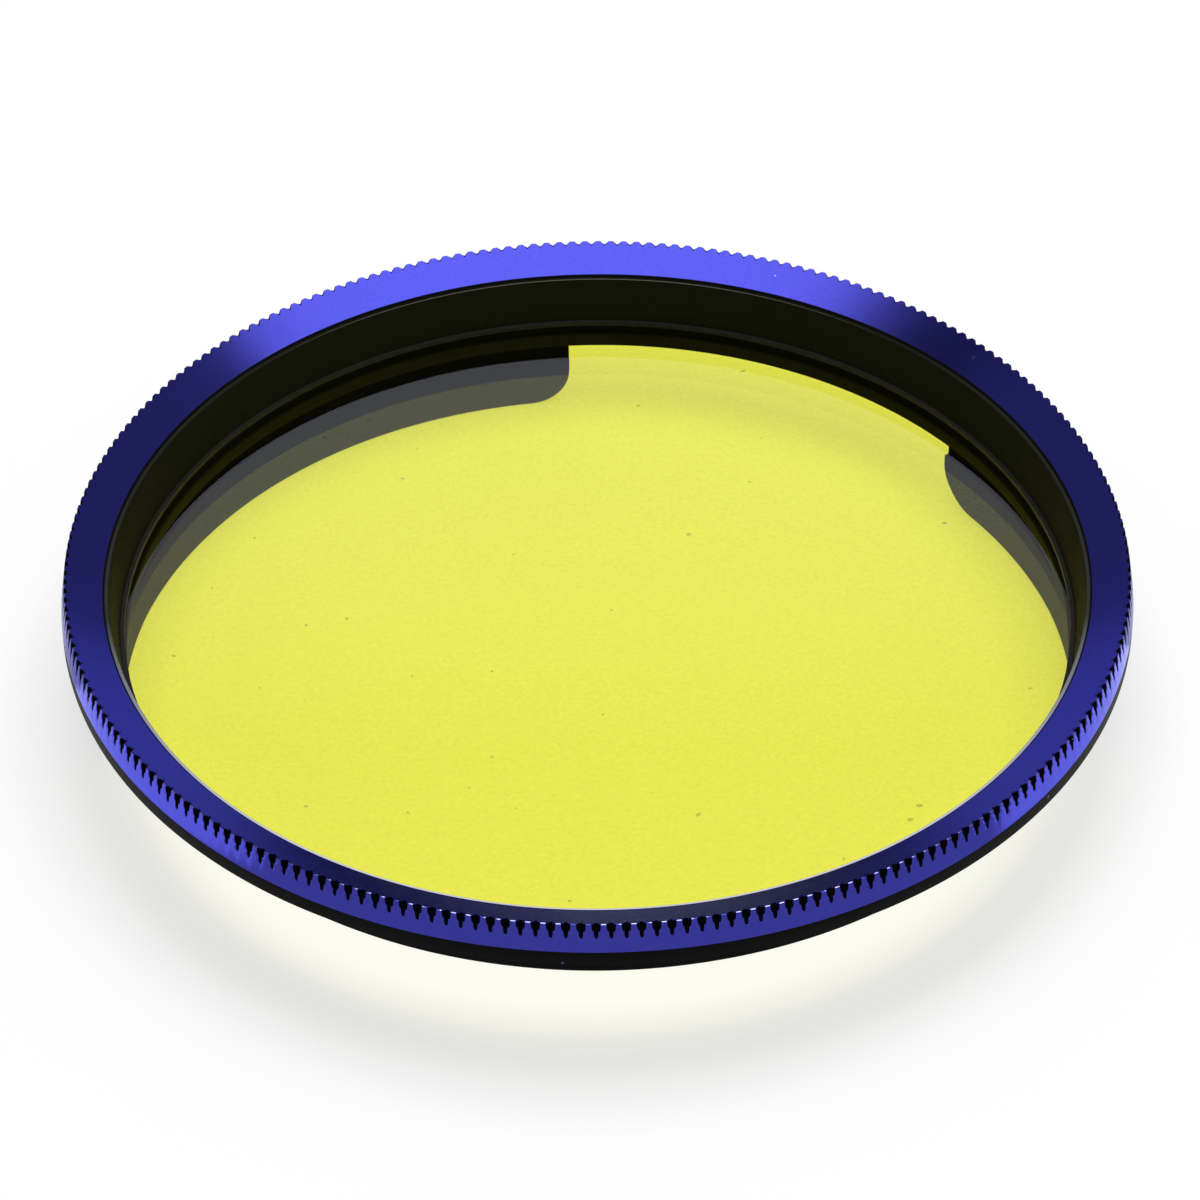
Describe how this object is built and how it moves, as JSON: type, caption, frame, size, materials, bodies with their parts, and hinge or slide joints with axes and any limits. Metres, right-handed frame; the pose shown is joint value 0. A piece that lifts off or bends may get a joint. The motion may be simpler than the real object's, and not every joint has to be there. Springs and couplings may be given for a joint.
{
  "type": "slip-on lens filter",
  "caption": "Yellow glass filter in a knurled blue anodised ring, with a cut-away collar that slips over a lens barrel.",
  "frame": {"origin": "on the optical axis, in the plane of the collar's open end, which the filter stands on", "axes": "+Z along the optical axis towards the knurled front, +X to the right and +Y away from the camera of the picture"},
  "size_m": [0.0468, 0.0468, 0.0086],
  "materials": {
    "blue_anodised": "satin blue anodised aluminium, near-black inside the bore",
    "yellow_glass": "polished",
    "dark_spring_steel": "blackened"
  },
  "bodies": {
    "root": {"filter_ring": "blue_anodised", "filter_glass": "yellow_glass", "retaining_ring": "dark_spring_steel"}
  },
  "joints": []
}
